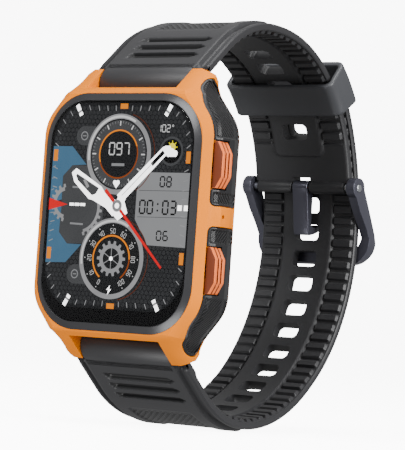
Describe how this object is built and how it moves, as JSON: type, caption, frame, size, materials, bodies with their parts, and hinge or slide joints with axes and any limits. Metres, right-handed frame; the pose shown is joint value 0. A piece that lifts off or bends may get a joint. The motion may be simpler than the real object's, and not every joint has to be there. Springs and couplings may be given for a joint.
{
  "type": "gps running watch",
  "caption": "Rugged square smartwatch with orange lugged case, ribbed side inserts, two push buttons, glass-covered dial and buckled rubber strap with keeper.",
  "frame": {"origin": "middle of the wrist opening, halfway across the strap", "axes": "+Z towards twelve o'clock, -Y out of the display, +X towards the two buttons"},
  "size_m": [0.0417, 0.0664, 0.0762],
  "materials": {
    "orange_frame": "orange anodised satin",
    "black_bezel": "satin black",
    "cover_glass": "tempered glass over a black border and printed dial",
    "panel": "display panel",
    "adhesive": "foam adhesive",
    "black_plastic": "moulded matt black",
    "insert_rubber": "ribbed black rubber",
    "button_metal": "copper orange anodised",
    "spring_steel": "drawn wire",
    "seal_rubber": "nitrile",
    "polyimide_flex": "polyimide film",
    "circuit_board": "solder mask",
    "battery_foil": "foil pouch",
    "strap_rubber": "moulded silicone, matt dark grey",
    "buckle_metal": "gunmetal plated",
    "sensor_lens": "tinted lens",
    "contact_gold": "gold plated"
  },
  "bodies": {
    "case": {"case_frame": "orange_frame", "bezel_ring": "black_bezel", "cover_glass": "cover_glass", "display_panel": "panel", "display_gasket": "adhesive", "inner_frame": "black_plastic", "insert_right_upper": "insert_rubber", "insert_right_lower": "insert_rubber", "insert_left_upper": "insert_rubber", "insert_left_lower": "insert_rubber", "button_upper_spring": "spring_steel", "button_lower_spring": "spring_steel", "button_upper_o_ring": "seal_rubber", "button_lower_o_ring": "seal_rubber", "side_key_flex": "polyimide_flex", "microphone": "spring_steel", "speaker": "black_plastic", "main_board": "circuit_board", "battery": "battery_foil", "display_flex": "polyimide_flex", "gps_antenna": "contact_gold", "vibration_motor": "spring_steel", "sensor_board": "circuit_board", "rear_gasket": "seal_rubber", "rear_cover": "black_plastic", "sensor_window": "sensor_lens", "charging_pads": "contact_gold", "rear_screws": "spring_steel"},
    "button_upper_body": {"button_upper": "button_metal", "button_upper_clip": "spring_steel"},
    "button_lower_body": {"button_lower": "button_metal", "button_lower_clip": "spring_steel"},
    "strap_short_body": {"strap_short": "strap_rubber", "spring_bar_upper": "spring_steel", "bar_spring_upper": "spring_steel", "buckle_pin": "buckle_metal"},
    "strap_long_body": {"strap_long": "strap_rubber", "spring_bar_lower": "spring_steel", "bar_spring_lower": "spring_steel"},
    "keeper_body": {"keeper": "strap_rubber"},
    "buckle_frame_body": {"buckle_frame": "buckle_metal"},
    "tongue_body": {"buckle_tongue": "buckle_metal"},
    "tip_upper_right": {"bar_tip_upper_right": "spring_steel"},
    "tip_upper_left": {"bar_tip_upper_left": "spring_steel"},
    "tip_lower_right": {"bar_tip_lower_right": "spring_steel"},
    "tip_lower_left": {"bar_tip_lower_left": "spring_steel"}
  },
  "joints": [
    {"name": "button_upper_press", "type": "slide", "parent": "case", "child": "button_upper_body", "axis": [-1, 0, 0], "range_m": [0, 0.0005], "stiffness_N_per_m": 2500, "springref_m": -0.0004},
    {"name": "button_lower_press", "type": "slide", "parent": "case", "child": "button_lower_body", "axis": [-1, 0, 0], "range_m": [0, 0.0005], "stiffness_N_per_m": 2500, "springref_m": -0.0004},
    {"name": "strap_short_hinge", "type": "hinge", "parent": "case", "child": "strap_short_body", "pos_m": [0, -0.0278, 0.0235], "axis": [1, 0, 0], "range_deg": [-0.25, 0.05]},
    {"name": "strap_long_hinge", "type": "hinge", "parent": "case", "child": "strap_long_body", "pos_m": [0, -0.0278, -0.0235], "axis": [1, 0, 0], "range_deg": [-0.02, 0.1]},
    {"name": "keeper_slide", "type": "hinge", "parent": "strap_short_body", "child": "keeper_body", "pos_m": [0, -0.00401, 0.00891], "axis": [1, 0, 0], "range_deg": [-3, 3]},
    {"name": "buckle_frame_hinge", "type": "hinge", "parent": "strap_short_body", "child": "buckle_frame_body", "pos_m": [0, 0.02452, 0.0098], "axis": [1, 0, 0], "range_deg": [0, 70]},
    {"name": "tongue_hinge", "type": "hinge", "parent": "strap_short_body", "child": "tongue_body", "pos_m": [0, 0.02452, 0.0098], "axis": [-1, 0, 0], "range_deg": [0, 50]},
    {"name": "bar_tip_upper_right_slide", "type": "slide", "parent": "strap_short_body", "child": "tip_upper_right", "axis": [-1, 0, 0], "range_m": [0, 0.0011], "stiffness_N_per_m": 800, "springref_m": -0.0008},
    {"name": "bar_tip_upper_left_slide", "type": "slide", "parent": "strap_short_body", "child": "tip_upper_left", "axis": [1, 0, 0], "range_m": [0, 0.0011], "stiffness_N_per_m": 800, "springref_m": -0.0008},
    {"name": "bar_tip_lower_right_slide", "type": "slide", "parent": "strap_long_body", "child": "tip_lower_right", "axis": [-1, 0, 0], "range_m": [0, 0.0011], "stiffness_N_per_m": 800, "springref_m": -0.0008},
    {"name": "bar_tip_lower_left_slide", "type": "slide", "parent": "strap_long_body", "child": "tip_lower_left", "axis": [1, 0, 0], "range_m": [0, 0.0011], "stiffness_N_per_m": 800, "springref_m": -0.0008}
  ],
  "couplings": [
    {"joint": "strap_long_hinge", "follows": "strap_short_hinge", "ratio": -0.4}
  ]
}
